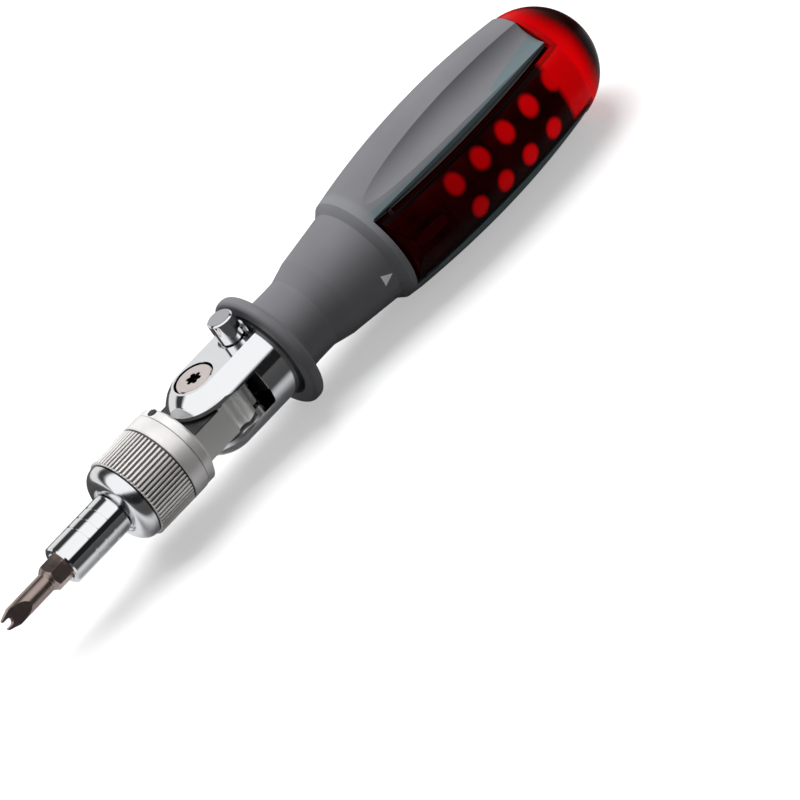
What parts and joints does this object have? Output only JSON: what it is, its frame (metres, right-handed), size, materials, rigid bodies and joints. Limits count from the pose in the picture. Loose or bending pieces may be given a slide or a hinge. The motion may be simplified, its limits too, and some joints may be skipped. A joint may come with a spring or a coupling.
{
  "type": "ratcheting screwdriver",
  "caption": "Ratcheting screwdriver with a tilting head, a locking button, a knurled direction ring, a spanner bit and a swing-out magazine of bits in its handle.",
  "frame": {"origin": "on the tool's axis, in the plane of the bit holder's mouth", "axes": "+X along the tool from the bit to the domed end, +Z along the head's pivot towards the screw head and the lock button, -Y out of the magazine's face"},
  "size_m": [0.2014, 0.035, 0.0352],
  "materials": {
    "grip": "grey soft-touch moulding",
    "liner": "black satin plastic",
    "chrome": "polished plate",
    "nickel": "satin nickel",
    "steel": "bright steel",
    "bronze": "turned bronze",
    "magnet": "sintered magnet",
    "bits": "gunmetal phosphate",
    "red_plastic": "clear red, polished"
  },
  "bodies": {
    "handle": {"grip": "grip", "handle_core": "liner", "hinge_pin": "steel", "yoke": "chrome", "yoke_pin": "steel", "pivot_screw": "nickel", "pivot_nut": "steel", "pivot_washers": "steel", "button_plug": "steel", "button_spring": "steel"},
    "button": {"lock_button": "chrome"},
    "head": {"knuckle": "nickel", "ratchet_housing": "nickel", "housing_pin": "nickel", "nose_cap": "chrome", "pawl_pin": "steel", "detent_ball": "steel", "detent_spring": "steel"},
    "selector": {"selector_ring": "nickel", "selector_ball": "steel"},
    "rocker": {"pawl": "steel"},
    "spindle": {"bit_holder": "chrome", "ratchet_gear": "steel", "gear_pin": "steel", "thrust_washer": "bronze", "holder_magnet": "magnet", "retaining_ring": "steel"},
    "bit": {"driver_bit": "bits"},
    "magazine": {"magazine_tray": "red_plastic", "magazine_cap": "red_plastic", "magazine_latch": "red_plastic", "stored_bit_1": "bits", "stored_bit_2": "bits", "stored_bit_3": "bits", "stored_bit_4": "bits", "stored_bit_5": "bits", "stored_bit_6": "bits", "stored_bit_7": "bits", "stored_bit_8": "bits", "stored_bit_9": "bits", "stored_bit_10": "bits"}
  },
  "joints": [
    {"name": "head_tilt", "type": "hinge", "parent": "handle", "child": "head", "pos_m": [0.0532, 0, 0], "axis": [0, 0, 1], "range_deg": [-90, 90]},
    {"name": "button_press", "type": "slide", "parent": "handle", "child": "button", "axis": [0, 0, -1], "range_m": [0, 0.003], "stiffness_N_per_m": 500, "springref_m": -0.002, "deforming": ["button_spring"]},
    {"name": "selector_turn", "type": "hinge", "parent": "head", "child": "selector", "pos_m": [0.0315, 0, 0], "axis": [1, 0, 0], "range_deg": [-18, 18]},
    {"name": "pawl_rock", "type": "hinge", "parent": "head", "child": "rocker", "pos_m": [0.0315, 0, 0.0074], "axis": [1, 0, 0], "range_deg": [-6, 6]},
    {"name": "spindle_spin", "type": "hinge", "parent": "head", "child": "spindle", "pos_m": [0, 0, 0], "axis": [1, 0, 0], "continuous": true},
    {"name": "bit_pull", "type": "slide", "parent": "spindle", "child": "bit", "axis": [-1, 0, 0], "range_m": [0, 0.009]},
    {"name": "magazine_open", "type": "hinge", "parent": "handle", "child": "magazine", "pos_m": [0.1124, -0.0109, 0], "axis": [0, 0, -1], "range_deg": [0, 90]}
  ],
  "couplings": [
    {"joint": "pawl_rock", "follows": "selector_turn", "ratio": 0.33333}
  ]
}
